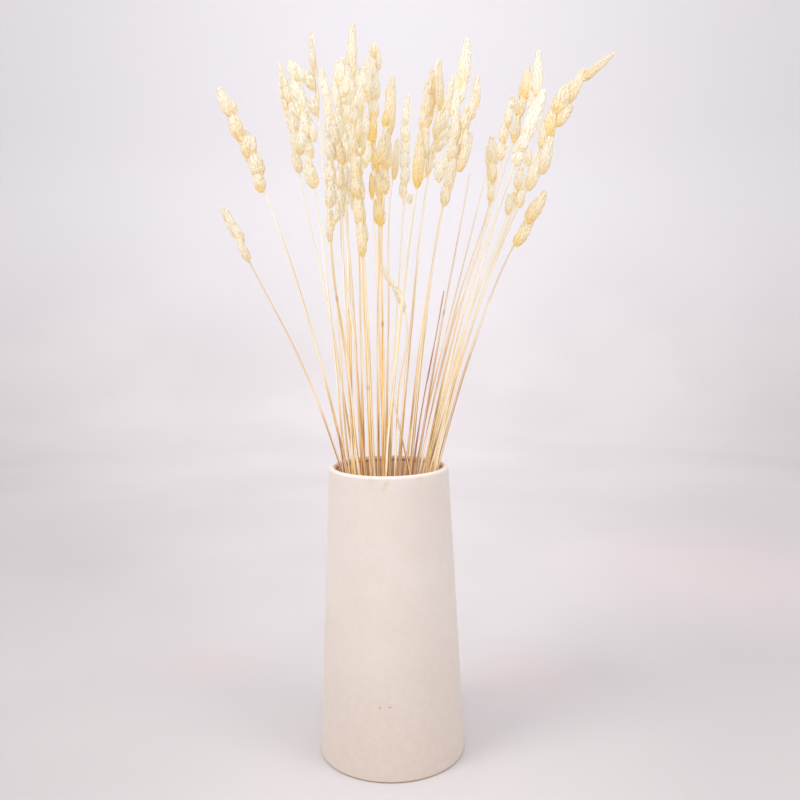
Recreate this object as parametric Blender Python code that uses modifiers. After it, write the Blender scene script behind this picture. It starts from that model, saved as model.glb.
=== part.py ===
"""A tapered ceramic vase filled with dried cocksfoot grass.

Thirty-three culms carry a seed head of clustered spikelets, and five are bare
or broken stalks. They stand loose on the vase's floor, cross a little below
its middle and fan out over its rim. Metres, +Z up; the origin is the centre of
the vase's underside and -Y is the front. Sizes below are in millimetres.
"""

import math
import random
from collections import namedtuple

import bmesh
import bpy
from mathutils import Matrix, Vector

MM = 0.001
COLLECTION = "vase_of_dried_grass"

# Vase: a straight cone, narrower at the rim
VASE_HEIGHT = 222.0
BASE_RADIUS = 55.9
RIM_RADIUS = 45.0
WALL = 4.9
FLOOR = 6.0
FLOOR_FILLET = 7.0
FOOT_EDGE = 1.6
FILLET_POINTS = 4
LIP_POINTS = 6
EDGE_POINTS = 3
VASE_STEPS = 40

# Points closer than these, in metres, are one point
TURN_MERGE = 0.00005
CAP_MERGE = 0.00001

# Culms: how they stand, fan out and taper
SEAT_GAP = 0.3
FOOT_TURN = math.radians(100)
FOOT_SPREAD = 0.5
FOOT_RISE = 6.0
FAN = 1.15
SAG = 0.08
TIP_RADIUS = 0.5
LINE_STEP = 10.0
LINE_TOLERANCE = 0.5

# The front outline below is read off the plane through the vase's axis by an
# eye this far in front of the axis and this high
EYE_DISTANCE = 635.0
EYE_HEIGHT = 342.0

# Seed heads: fat husks climb the culm, each leaning out on another side
HUSK_PITCH = 7.5
HUSK_LENGTH = 20.0
HUSK_SHARE = 0.6
HUSKS_AT_LEAST = 3
HUSK_TURN = math.radians(142)
HUSK_WANDER = math.radians(20)
HUSK_LEAN = math.radians(15)
HUSK_VARY = 0.1

# A husk's width is a share of its head's, less near the tip
HUSK_WIDTH = 0.60
HUSK_TAPER = 0.14
HUSK_SIDES = 4

# Height and girth of a husk's two rings, as shares of its length and width
HUSK_BELLY = (0.24, 1.0)
HUSK_SHOULDER = (0.62, 0.78)

Culm = namedtuple("Culm", "name tip neck rim stalk head straw")

# tip and neck: x and z of the culm's end and of the head's foot, as seen from
# the front. rim: x and y where the culm passes the rim. stalk: radius there.
# head: width. straw: which colour of straw.
CULMS = (
    Culm("grass_01", (-118, 497), (-88, 427), (-32, -4), 1.1, 14, "straw_gold"),
    Culm("grass_02", (-119, 414), (-101, 376), (-37.3, 5), 0.9, 12, "straw_gold"),
    Culm("grass_03", (-75, 515), (-63, 438), (-28, 23), 1.0, 13, "straw_gold"),
    Culm("grass_04", (-66, 517), (-52, 430), (-34, 15), 0.9, 17, "straw_pale"),
    Culm("grass_05", (-49, 535), (-46, 480), (-28, -23), 0.9, 8, "straw_gold"),
    Culm("grass_06", (-44, 512), (-36, 470), (-25, -16), 0.9, 10, "straw_pale"),
    Culm("grass_07", (-37, 480), (-40, 389), (-21, -29), 1.3, 17, "straw_gold"),
    Culm("grass_08", (-28, 516), (-28, 412), (-27.5, 8), 1.4, 12, "straw_gold"),
    Culm("grass_09", (-30, 518), (-30, 446), (-20, 0), 1.2, 13, "straw_pale"),
    Culm("grass_10", (-22, 540), (-23, 461), (-14, 24), 1.2, 13, "straw_gold"),
    Culm("grass_11", (-19, 492), (-16, 380), (-12, -33), 1.3, 14, "straw_amber"),
    Culm("grass_12", (-14, 512), (-17, 432), (-11, -8), 1.2, 13, "straw_pale"),
    Culm("grass_13", (-24, 455), (-21, 402), (-19, 14), 1.1, 13, "straw_gold"),
    Culm("grass_14", (-28, 445), (-32, 405), (-17.5, -11), 1.1, 13, "straw_gold"),
    Culm("grass_15", (-8, 529), (-10, 459), (-5, 33), 1.2, 14, "straw_gold"),
    Culm("grass_16", (-12, 480), (-6, 421), (-8, 14), 1.1, 12, "straw_amber"),
    Culm("grass_17", (7, 505), (-2, 401), (-3, -22), 1.3, 14, "straw_amber"),
    Culm("grass_18", (11, 461), (6, 435), (-2, 1), 0.9, 8, "straw_amber"),
    Culm("grass_19", (18, 493), (13, 414), (1, 22), 0.9, 9, "straw_pale"),
    Culm("grass_20", (-1, 369), (14, 338), (5, -27), 0.9, 9, "straw_gold"),
    Culm("grass_21", (41, 517), (25, 430), (-1, -36), 1.5, 15, "straw_amber"),
    Culm("grass_22", (60, 529), (47, 443), (14, 27), 1.1, 17, "straw_pale"),
    Culm("grass_23", (46, 487), (33, 436), (8, -12), 1.4, 14, "straw_gold"),
    Culm("grass_24", (68, 503), (42, 415), (17, 9), 1.2, 15, "straw_gold"),
    Culm("grass_25", (78, 463), (77, 416), (23, -27), 1.0, 11, "straw_amber"),
    Culm("grass_26", (92, 488), (85, 446), (25, 12), 0.9, 11, "straw_gold"),
    Culm("grass_27", (104, 512), (93, 461), (29, 20), 1.1, 13, "straw_amber"),
    Culm("grass_28", (112, 522), (106, 482), (29, -7), 1.1, 13, "straw_pale"),
    Culm("grass_29", (117, 495), (95, 443), (34.5, -13), 1.2, 16, "straw_pale"),
    Culm("grass_30", (162, 516), (113, 456), (35.5, 11), 1.2, 16, "straw_amber"),
    Culm("grass_31", (122, 459), (105, 427), (30, -21), 1.1, 14, "straw_gold"),
    Culm("grass_32", (101, 443), (90, 409), (30, 3), 1.1, 13, "straw_gold"),
    Culm("grass_33", (117, 423), (95, 386), (37, -3), 1.3, 15, "straw_amber"),
    Culm("stalk_1", (-37, 244), None, (-33, -17), 0.9, 0, "straw_russet"),
    Culm("stalk_2", (5, 271), None, (15, -31), 0.7, 0, "straw_gold"),
    Culm("stalk_3", (43, 352), None, (18, -18), 0.8, 0, "straw_russet"),
    Culm("stalk_4", (62, 436), None, (22, -3), 1.0, 0, "straw_russet"),
    Culm("stalk_5", (75, 443), None, (22, 22), 0.8, 0, "straw_pale"),
)

# Heads that curve: where the culm passes between its neck and its tip
BENDS = {"grass_30": (131, 493)}
NECK = 4

# Colour and roughness of each finish
FINISHES = {
    "ceramic": ((0.80, 0.73, 0.66), 0.62),
    "straw_gold": ((0.80, 0.66, 0.40), 0.70),
    "straw_pale": ((0.87, 0.79, 0.60), 0.72),
    "straw_amber": ((0.72, 0.52, 0.26), 0.70),
    "straw_russet": ((0.48, 0.27, 0.17), 0.68),
}


def clear_scene():
    for item in list(bpy.data.objects):
        bpy.data.objects.remove(item, do_unlink=True)


def finish(name):
    colour, roughness = FINISHES[name]
    material = bpy.data.materials.get(name) or bpy.data.materials.new(name)
    material.use_nodes = True
    shader = material.node_tree.nodes["Principled BSDF"]
    shader.inputs["Base Color"].default_value = (*colour, 1.0)
    shader.inputs["Roughness"].default_value = roughness
    shader.inputs["Metallic"].default_value = 0.0
    return material


def arc(centre, radius, start, end, count):
    """Points on an arc in the profile plane, from start to end in degrees."""
    points = []
    for i in range(count):
        angle = math.radians(start + (end - start) * i / (count - 1))
        points.append((centre[0] + radius * math.cos(angle), centre[1] + radius * math.sin(angle)))
    return points


def outer_radius(z):
    return BASE_RADIUS + (RIM_RADIUS - BASE_RADIUS) * z / VASE_HEIGHT


def vase_profile():
    """Half section: floor, inner wall, rounded lip, outer wall, underside."""
    lip = WALL / 2
    fillet_z = FLOOR + FLOOR_FILLET
    fillet_x = outer_radius(fillet_z) - WALL - FLOOR_FILLET
    edge_x = outer_radius(FOOT_EDGE) - FOOT_EDGE
    points = [(0.0, FLOOR)]
    points += arc((fillet_x, fillet_z), FLOOR_FILLET, -90, 0, FILLET_POINTS)
    points += arc((RIM_RADIUS - lip, VASE_HEIGHT - lip), lip, 180, 0, LIP_POINTS)
    points += arc((edge_x, FOOT_EDGE), FOOT_EDGE, 0, -90, EDGE_POINTS)
    points.append((0.0, 0.0))
    return points


def make_vase(collection):
    mesh = bpy.data.meshes.new("vase")
    vase = bpy.data.objects.new("vase", mesh)
    collection.objects.link(vase)
    outline = bmesh.new()
    corners = [outline.verts.new((x * MM, 0, z * MM)) for x, z in vase_profile()]
    for low, high in zip(corners, corners[1:]):
        outline.edges.new((low, high))
    outline.to_mesh(mesh)
    outline.free()
    turn = vase.modifiers.new("turned", "SCREW")
    turn.steps = VASE_STEPS
    turn.render_steps = VASE_STEPS
    turn.use_merge_vertices = True
    turn.merge_threshold = TURN_MERGE
    turn.use_smooth_shade = True
    mesh.materials.append(finish("ceramic"))


def placed(culm, x, z):
    """A point of the front outline, moved along the line of sight to its depth."""
    y = culm.rim[1] * (1 + FAN * (z - VASE_HEIGHT) / VASE_HEIGHT)
    grow = 1 + y / EYE_DISTANCE
    return Vector((x * grow, y, EYE_HEIGHT + (z - EYE_HEIGHT) * grow))


def culm_knots(culm):
    """The few points that a culm passes, from its foot on the floor to its tip."""
    rim = Vector((culm.rim[0], culm.rim[1], VASE_HEIGHT))
    foot = Matrix.Rotation(FOOT_TURN, 3, "Z") @ rim * FOOT_SPREAD
    foot.z = FLOOR + SEAT_GAP
    knots = [foot, foot + Vector((0, 0, FOOT_RISE)), rim]
    if culm.neck:
        neck = placed(culm, *culm.neck)
        middle = (rim + neck) / 2
        middle.x -= SAG * (neck.x - rim.x)
        knots += [middle, neck]
    if culm.name in BENDS:
        knots.append(placed(culm, *BENDS[culm.name]))
    knots.append(placed(culm, *culm.tip))
    return knots


def knot_slopes(knots):
    """How fast x and y change with height at each knot of a smooth curve."""
    spans = [b.z - a.z for a, b in zip(knots, knots[1:])]
    slopes = [(b.xy - a.xy) / span for a, b, span in zip(knots, knots[1:], spans)]
    result = [slopes[0]]
    for i in range(1, len(slopes)):
        total = spans[i - 1] + spans[i]
        result.append((slopes[i - 1] * spans[i] + slopes[i] * spans[i - 1]) / total)
    result.append(slopes[-1])
    return result


def point_at(knots, slopes, z):
    """The point of the smooth curve through the knots at one height."""
    i = 0
    while i < len(knots) - 2 and z > knots[i + 1].z:
        i += 1
    span = knots[i + 1].z - knots[i].z
    s = (z - knots[i].z) / span
    flat = (1 + 2 * s) * (1 - s) ** 2 * knots[i].xy
    flat += s * (1 - s) ** 2 * span * slopes[i]
    flat += s * s * (3 - 2 * s) * knots[i + 1].xy
    flat += s * s * (s - 1) * span * slopes[i + 1]
    return Vector((flat.x, flat.y, z))


def culm_line(culm):
    """Points along a culm's centre, close enough together to look smooth."""
    knots = culm_knots(culm)
    slopes = knot_slopes(knots)
    low = knots[1].z
    high = knots[-1].z
    count = max(2, round((high - low) / LINE_STEP))
    line = [knots[0]]
    line += [point_at(knots, slopes, low + (high - low) * i / count) for i in range(count + 1)]
    return line


def thinned(line):
    """The line without the points that lie on a straight stretch."""
    if len(line) < 3:
        return line
    start = line[0]
    run = (line[-1] - start).normalized()
    offsets = [(p - start - run * (p - start).dot(run)).length for p in line]
    worst = max(range(len(line)), key=lambda i: offsets[i])
    if offsets[worst] < LINE_TOLERANCE:
        return [line[0], line[-1]]
    return thinned(line[:worst + 1])[:-1] + thinned(line[worst:])


def stalk_radius(culm, z, tip_z):
    """Full size up to the rim, then a taper to the tip."""
    climb = max(0.0, (z - VASE_HEIGHT) / (tip_z - VASE_HEIGHT))
    return culm.stalk + (TIP_RADIUS - culm.stalk) * climb


def make_stalk(culm, collection):
    """The bare culm as a closed four-sided tube that follows its line."""
    line = culm_line(culm)
    tip_z = line[-1].z
    points = [line[0]] + thinned(line[1:])
    curve = bpy.data.curves.new(culm.name, "CURVE")
    curve.dimensions = "3D"
    curve.bevel_depth = MM
    curve.bevel_resolution = 0
    curve.use_fill_caps = True
    spline = curve.splines.new("POLY")
    spline.points.add(len(points) - 1)
    for knot, point in zip(spline.points, points):
        knot.co = (*(point * MM), 1)
        knot.radius = stalk_radius(culm, point.z, tip_z)
    guide = bpy.data.objects.new(culm.name + "_curve", curve)
    collection.objects.link(guide)
    bpy.context.view_layer.update()
    evaluated = guide.evaluated_get(bpy.context.evaluated_depsgraph_get())
    mesh = bpy.data.meshes.new_from_object(evaluated)
    stalk = bpy.data.objects.new(culm.name, mesh)
    stalk.matrix_world = guide.matrix_world
    bpy.data.objects.remove(guide, do_unlink=True)
    bpy.data.curves.remove(curve)
    welded = bmesh.new()
    welded.from_mesh(mesh)
    bmesh.ops.remove_doubles(welded, verts=welded.verts, dist=CAP_MERGE)
    bmesh.ops.recalc_face_normals(welded, faces=welded.faces)
    welded.to_mesh(mesh)
    welded.free()
    mesh.name = culm.name
    mesh.materials.clear()
    mesh.materials.append(finish(culm.straw))
    collection.objects.link(stalk)
    return stalk


def husk(root, along, length, width):
    """One fat husk from its root to its point, fullest a quarter of the way up."""
    shape = bmesh.new()
    bmesh.ops.create_uvsphere(shape, u_segments=HUSK_SIDES, v_segments=3, radius=1)
    for vert in shape.verts:
        upper = vert.co.z > 0
        if vert.co.xy.length < CAP_MERGE:
            vert.co = (0, 0, length if upper else 0)
            continue
        height, girth = HUSK_SHOULDER if upper else HUSK_BELLY
        rim = vert.co.xy.normalized() * girth * width / 2
        vert.co = (rim.x, rim.y, height * length)
    turn = Vector((0, 0, 1)).rotation_difference(along).to_matrix().to_4x4()
    place = Matrix.Scale(MM, 4) @ Matrix.Translation(root) @ turn
    bmesh.ops.transform(shape, matrix=place, verts=shape.verts)
    mesh = bpy.data.meshes.new("husk")
    shape.to_mesh(mesh)
    shape.free()
    return bpy.data.objects.new("husk", mesh)


def varied(draw):
    return draw.uniform(1 - HUSK_VARY, 1 + HUSK_VARY)


def head_husks(culm):
    """The husks of one head, each turned on from the last around the culm.

    The last one stands straight on the culm's end and makes the head's tip.
    """
    draw = random.Random(culm.name)
    knots = culm_knots(culm)
    slopes = knot_slopes(knots)
    neck = knots[NECK]
    tip = knots[-1]
    reach = (tip - neck).length
    last = min(HUSK_LENGTH, reach * HUSK_SHARE)
    count = max(HUSKS_AT_LEAST, round((reach - last) / HUSK_PITCH) + 1)
    turn = draw.uniform(0, math.tau)
    husks = []
    for i in range(count):
        share = i / (count - 1) * (1 - last / reach)
        root = point_at(knots, slopes, neck.z + (tip.z - neck.z) * share)
        climb = (point_at(knots, slopes, root.z + 1) - root).normalized()
        turn += HUSK_TURN + draw.uniform(-HUSK_WANDER, HUSK_WANDER)
        out = Vector((math.cos(turn), math.sin(turn), 0))
        out = (out - climb * out.dot(climb)).normalized()
        width = culm.head * (HUSK_WIDTH - HUSK_TAPER * share) * varied(draw)
        lean = HUSK_LEAN * varied(draw)
        length = last * varied(draw)
        if i == count - 1:
            lean = 0.0
            length = (tip - root).length
        along = climb * math.cos(lean) + out * math.sin(lean)
        husks.append(husk(root, along, length, width))
    return husks


def fuse(body, pieces, collection):
    """Unite the pieces with the body in one Boolean and drop them."""
    loose = bpy.data.collections.new(body.name + "_pieces")
    collection.children.link(loose)
    for piece in pieces:
        loose.objects.link(piece)
    join = body.modifiers.new("fused", "BOOLEAN")
    join.operation = "UNION"
    join.operand_type = "COLLECTION"
    join.collection = loose
    join.solver = "EXACT"
    bpy.context.view_layer.update()
    bpy.context.view_layer.objects.active = body
    bpy.ops.object.modifier_apply(modifier=join.name)
    for piece in pieces:
        mesh = piece.data
        bpy.data.objects.remove(piece, do_unlink=True)
        bpy.data.meshes.remove(mesh)
    bpy.data.collections.remove(loose)


def main():
    clear_scene()
    collection = bpy.data.collections.new(COLLECTION)
    bpy.context.scene.collection.children.link(collection)
    make_vase(collection)
    for culm in CULMS:
        stalk = make_stalk(culm, collection)
        if culm.neck:
            fuse(stalk, head_husks(culm), collection)


main()
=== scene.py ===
"""Looks of the vase of dried grass: thrown clay, straw culms and husked seed heads."""

import math
import random
from collections import namedtuple
from types import SimpleNamespace as Values

import bpy
from mathutils import Matrix, Vector


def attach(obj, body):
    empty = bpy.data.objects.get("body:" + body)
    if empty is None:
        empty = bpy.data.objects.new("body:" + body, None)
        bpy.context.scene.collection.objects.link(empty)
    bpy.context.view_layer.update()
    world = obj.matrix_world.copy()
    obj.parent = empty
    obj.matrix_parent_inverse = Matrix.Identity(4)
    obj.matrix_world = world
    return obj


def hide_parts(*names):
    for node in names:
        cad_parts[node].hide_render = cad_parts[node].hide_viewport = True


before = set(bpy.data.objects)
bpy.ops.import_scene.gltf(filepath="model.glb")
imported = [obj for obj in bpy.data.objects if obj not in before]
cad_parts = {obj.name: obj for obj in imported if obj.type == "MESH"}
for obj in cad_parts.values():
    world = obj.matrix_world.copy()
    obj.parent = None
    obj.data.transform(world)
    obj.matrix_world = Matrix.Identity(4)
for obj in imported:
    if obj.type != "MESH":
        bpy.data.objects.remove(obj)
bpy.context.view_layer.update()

MM = 0.001
BODY = "root"

# Vase, in millimetres: the same turned shape as the CAD's, with more points
VASE_HEIGHT = 222.0
BASE_RADIUS = 55.9
RIM_RADIUS = 45.0
WALL = 4.9
FLOOR = 6.0
FLOOR_FILLET = 7.0
FOOT_EDGE = 1.6
LIP_ROUND = 2.35
VASE_SIDES = 128
WALL_RINGS = 36
BEVEL_STEPS = 6
WOBBLE = 0.35
WOBBLE_SIZE = 70.0
RING_NEAR = 0.05

# Small marks on the clay's front: place, size, strength and colour
YELLOWED = (0.66, 0.56, 0.36)
BROWN_SPOT = (0.30, 0.17, 0.10)
CLAY_MARKS = (
    ((-0.2, -45.1, 218.4), 2.4, 0.55, YELLOWED),
    ((-1.5, -45.2, 216.6), 2.4, 0.60, YELLOWED),
    ((-2.7, -45.2, 214.7), 2.2, 0.55, YELLOWED),
    ((-3.8, -45.3, 212.4), 2.0, 0.35, YELLOWED),
    ((-12.0, -43.4, 218.6), 4.5, 0.25, YELLOWED),
    ((22.0, -39.4, 218.6), 5.0, 0.30, YELLOWED),
    ((-8.2, -52.5, 55.8), 1.3, 0.60, BROWN_SPOT),
    ((-0.6, -53.2, 56.2), 1.2, 0.60, BROWN_SPOT),
    ((-1.7, -53.2, 56.5), 0.9, 0.40, BROWN_SPOT),
)

# A layer of colour: the range over which it comes in, its strength and its colour
Layer = namedtuple("Layer", "low high strength colour")

# The clay's slip, and its mottling from broad to fine: scale and detail of the noises,
# and the layers that they bring in
SLIP = (0.742, 0.662, 0.598)
CLAY_NOISES = ((22.0, 4.0), (200.0, 3.0), (620.0, 3.0), (2300.0, 2.0))
CLAY_NOISE_ROUGHNESS = 0.6
BLOTCH = Layer(0.35, 0.70, 1.0, (0.772, 0.702, 0.646))
MOTTLE = Layer(0.40, 0.66, 0.20, (0.80, 0.72, 0.64))
SPECKLE = Layer(0.50, 0.80, 0.45, (0.66, 0.56, 0.46))
GRAIN = Layer(0.62, 0.80, 0.25, (0.58, 0.48, 0.40))

# Layers that come in or fall away with height on the vase, in millimetres
# Painted shade: the vase darkens towards its foot
SHADED_FOOT = Layer(0.0, 150.0, 1.0, (0.675, 0.585, 0.515))
TAN_FOOT = Layer(0.5, 5.0, 0.35, (0.78, 0.58, 0.48))
# Painted contact shadow: a dark line where the vase stands on the floor
PAINTED_CONTACT_SHADOW = Layer(0.5, 1.3, 0.75, (0.22, 0.12, 0.09))
# Painted highlight: a paler band along the top of the lip
PAINTED_LIP_HIGHLIGHT = Layer(VASE_HEIGHT - 1.9, VASE_HEIGHT - 0.9, 0.55, (0.86, 0.83, 0.80))
LIP_RAGGED = 3.0

# The bare clay inside, darkening deeper down as painted shade, and the painted shadow line below its lip
INSIDE_TAN = (0.68, 0.46, 0.34)
INSIDE_PAINTED_SHADE = Layer(VASE_HEIGHT - 70, VASE_HEIGHT, 1.0, (0.30, 0.15, 0.07))
INSIDE_SHADOW_LINE = Layer(VASE_HEIGHT - 4.4, VASE_HEIGHT - 3.6, 0.85, (0.20, 0.10, 0.05))
SHADOW_LINE_TOP = (VASE_HEIGHT - 3.0, VASE_HEIGHT - 2.2)
INSIDE_FROM_MIDDLE = (-1.4, 0.2)

# Culms, as in the CAD: how they stand, fan out and taper
SEAT_GAP = 0.3
FOOT_TURN = math.radians(100)
FOOT_SPREAD = 0.5
FOOT_RISE = 6.0
FAN = 1.15
SAG = 0.08
TIP_RADIUS = 0.5
EYE_DISTANCE = 635.0
EYE_HEIGHT = 342.0

# Rings of a culm, the gap below which points are welded, and the few joints that show
RING_STEP = 7.0
CULM_SIDES_STEP = 2
WELD = 0.01
JOINT = Values(swell=1.15, half=1.6, rings=(-2, -1, 0, 1, 2), reach=1.5, spread=4.0)
JOINTS = {"grass_07": 347, "grass_08": 338, "grass_11": 285, "grass_17": 329, "stalk_4": 336}

# A husk is a flattened bud one unit long: height, girth and bow of its rings
Ring = namedtuple("Ring", "height girth bow")
HUSK_RINGS = (
    Ring(0.00, 0.50, 0.00),
    Ring(0.30, 1.00, 0.16),
    Ring(0.70, 0.70, 0.16),
    Ring(1.00, 0.05, -0.04),
)
HUSK = Values(sides=4, length=4.6, width=2.7, thick=0.42, vary=0.15)

# A lobe or spray that stands on a head, and where along the head its twig leaves the culm
Lobe = namedtuple("Lobe", "root along length width gold twig_from", defaults=(None,))

# A lobe is a bud of husks in rows round a core; these are its lengths and widths
LOBE_SIZES = ((12.0, 5.5), (17.0, 6.5), (22.0, 7.0), (34.0, 8.5))
LOBES_OF_A_SIZE = 2
CORE = Values(segments=12, rings=10, width=0.92, length=0.97, pole=0.01, tint=0.5)
ROW_PITCH = 1.7
ROW_TOP = 0.86
FEWEST_HUSKS = 3
HUSK_GAP = 1.32
HUSK_LEAN = math.radians(7)
HUSK_WANDER = math.radians(4)
HUSK_SWAY = 0.10
HUSK_SHIFT = 0.2
HUSK_LIFT = 0.5
HUSK_SINK = 0.96
LAST_HUSK = 1.03
BLUNT = 0.24
BRISTLE = Values(
    count=14, length=3.0, radius=0.08, span=(0.25, 0.85), lean=(0.1, 0.45), tint=0.3)

# Outline of a lobe: a bent half wave, flattened more above the fullest place
WAVE_BEND = 0.72
WAVE_START = 0.02
FULL_AT = 0.4
FULLNESS_BELOW = 0.7
FULLNESS_ABOVE = 0.6

# What the husks' colour reads on the plain core and on a thin bristle or twig; the core reads as a husk's
# root and edge, and so takes their painted shade and glow
CORE_SHADE_MARKS = {"rise": 0.2, "around": 0.25}
NEEDLE_RISE = 0.4

# How far a seen lobe stands before or behind its culm, in widths, and leans that way; and
# how much it is swelled and stretched, most of it downwards
LOBE_DEPTH = (-0.35, 0.175)
DEPTH_LEAN = 0.22
LOBE_SWELL = 1.08
LOBE_STRETCH = 1.12
STRETCH_DOWN = 0.7
LOBE_VARY = 0.12
MOST_GOLD = 9

# Lobes that the front hides; a width, side or depth is a share of the head's or the lobe's
BACK = Values(
    start=5.0, stop=18.0, every=15.0, width=0.45, slim=0.85, length=17.0, side=0.12, deep=0.5,
    lean=0.05, sway=0.08, gold=(0.2, 0.5))

# Lobes that wind round a head within the bunch, and the one that ends such a head
INNER = Values(
    stop=16.0, every=9.0, turn=math.radians(152), tilt=math.radians(9), width=0.5, length=18.0,
    side=0.175, gold=(0.1, 0.5))
TOP = Values(length=18.0, width=0.45, gold=0.3)

# A lobe's twig: how far below the lobe it leaves the culm, how thick it is and how far it
# runs into the lobe
TWIG_DROP = Values(seen=4.0, back=3.0, inner=2.0, top=1.0)
TWIG_RADIUS = 0.4
TWIG_INTO = 2.0
TWIG_GOLD = 0.4

# A spray: husks that open out from one foot, one unit long
SPRAY = Values(
    count=3, husks=9, open=math.radians(16), opening=(0.4, 1.0), shift=0.3, out=0.1,
    up=(0.0, 0.3), width=0.5, thick=0.22, length=(0.55, 0.7))

# The sprays along a culm, which close the gaps between its lobes
TUFT = Values(
    stop=12.0, every=4.0, far=(0.02, 0.16), lean=(0.1, 0.35), length=7.0, width=3.6,
    gold=(0.2, 0.6), size_vary=0.25, step_vary=0.3)

# The CAD's culms: x and z of the tip and of the neck, x and y at the rim, radius of the
# culm, width of the head and kind of straw; and how golden and how red the culm looks
Culm = namedtuple("Culm", "name tip neck rim stalk head straw warm red")
GOLD = "straw_gold"
PALE = "straw_pale"
AMBER = "straw_amber"
RUSSET = "straw_russet"
CULMS = [Culm(*row) for row in (
    ("grass_01", (-118, 497), (-88, 427), (-32, -4), 1.1, 14, GOLD, 0.5, 0.3),
    ("grass_02", (-119, 414), (-101, 376), (-37.3, 5), 0.9, 12, GOLD, 0.6, 0.6),
    ("grass_03", (-75, 515), (-63, 438), (-28, 23), 1.0, 13, GOLD, 0.1, 0.1),
    ("grass_04", (-66, 517), (-52, 430), (-34, 15), 0.9, 17, PALE, 0.2, 0.0),
    ("grass_05", (-49, 535), (-46, 480), (-28, -23), 0.9, 8, GOLD, 0.2, 0.2),
    ("grass_06", (-44, 512), (-36, 470), (-25, -16), 0.9, 10, PALE, 0.1, 0.1),
    ("grass_07", (-37, 480), (-40, 389), (-21, -29), 1.3, 17, GOLD, 0.9, 0.1),
    ("grass_08", (-28, 516), (-28, 412), (-27.5, 8), 1.4, 12, GOLD, 0.7, 0.0),
    ("grass_09", (-30, 518), (-30, 446), (-20, 0), 1.2, 13, PALE, 0.5, 0.3),
    ("grass_10", (-22, 540), (-23, 461), (-14, 24), 1.2, 13, GOLD, 0.8, 0.0),
    ("grass_11", (-19, 492), (-16, 380), (-12, -33), 1.3, 14, AMBER, 0.6, 0.1),
    ("grass_12", (-14, 512), (-17, 432), (-11, -8), 1.2, 13, PALE, 0.3, 0.0),
    ("grass_13", (-24, 455), (-21, 402), (-19, 14), 1.1, 13, GOLD, 0.6, 0.2),
    ("grass_14", (-28, 445), (-32, 405), (-17.5, -11), 1.1, 13, GOLD, 0.7, 0.3),
    ("grass_15", (-8, 529), (-10, 459), (-5, 33), 1.2, 14, GOLD, 0.2, 0.0),
    ("grass_16", (-12, 480), (-6, 421), (-8, 14), 1.1, 12, AMBER, 0.7, 0.3),
    ("grass_17", (7, 505), (-2, 401), (-3, -22), 1.3, 14, AMBER, 2.0, 0.1),
    ("grass_18", (11, 461), (6, 435), (-2, 1), 0.9, 8, AMBER, 0.5, 0.4),
    ("grass_19", (18, 493), (13, 414), (1, 22), 0.9, 9, PALE, 0.0, 0.0),
    ("grass_20", (-1, 369), (14, 338), (5, -27), 0.9, 9, GOLD, 0.3, 0.1),
    ("grass_21", (41, 517), (25, 430), (-1, -36), 1.5, 15, AMBER, 0.3, 0.0),
    ("grass_22", (60, 529), (47, 443), (14, 27), 1.1, 17, PALE, 0.6, 0.1),
    ("grass_23", (46, 487), (33, 436), (8, -12), 1.4, 14, GOLD, 0.5, 0.5),
    ("grass_24", (68, 503), (42, 415), (17, 9), 1.2, 15, GOLD, 0.4, 0.2),
    ("grass_25", (78, 463), (77, 416), (23, -27), 1.0, 11, AMBER, 0.4, 0.8),
    ("grass_26", (92, 488), (85, 446), (25, 12), 0.9, 11, GOLD, 0.3, 0.4),
    ("grass_27", (104, 512), (93, 461), (29, 20), 1.1, 13, AMBER, 0.4, 0.3),
    ("grass_28", (112, 522), (106, 482), (29, -7), 1.1, 13, PALE, 0.2, 0.0),
    ("grass_29", (117, 495), (95, 443), (34.5, -13), 1.2, 16, PALE, 0.3, 0.0),
    ("grass_30", (162, 516), (113, 456), (35.5, 11), 1.2, 16, AMBER, 0.5, 0.1),
    ("grass_31", (122, 459), (105, 427), (30, -21), 1.1, 14, GOLD, 0.4, 0.2),
    ("grass_32", (101, 443), (90, 409), (30, 3), 1.1, 13, GOLD, 0.4, 0.1),
    ("grass_33", (117, 423), (95, 386), (37, -3), 1.3, 15, AMBER, 0.5, 0.7),
    ("stalk_1", (-37, 244), None, (-33, -17), 0.9, 0, RUSSET, 0.8, 1.0),
    ("stalk_2", (5, 271), None, (15, -31), 0.7, 0, GOLD, 0.6, 0.4),
    ("stalk_3", (43, 352), None, (18, -18), 0.8, 0, RUSSET, 0.7, 1.5),
    ("stalk_4", (62, 436), None, (22, -3), 1.0, 0, RUSSET, 0.4, 0.9),
    ("stalk_5", (75, 443), None, (22, 22), 0.8, 0, PALE, 0.3, 0.3),
)]

# Heads that curve: where the culm passes between its neck and its tip
BENDS = {"grass_30": (131, 493)}
NECK = 4

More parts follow.
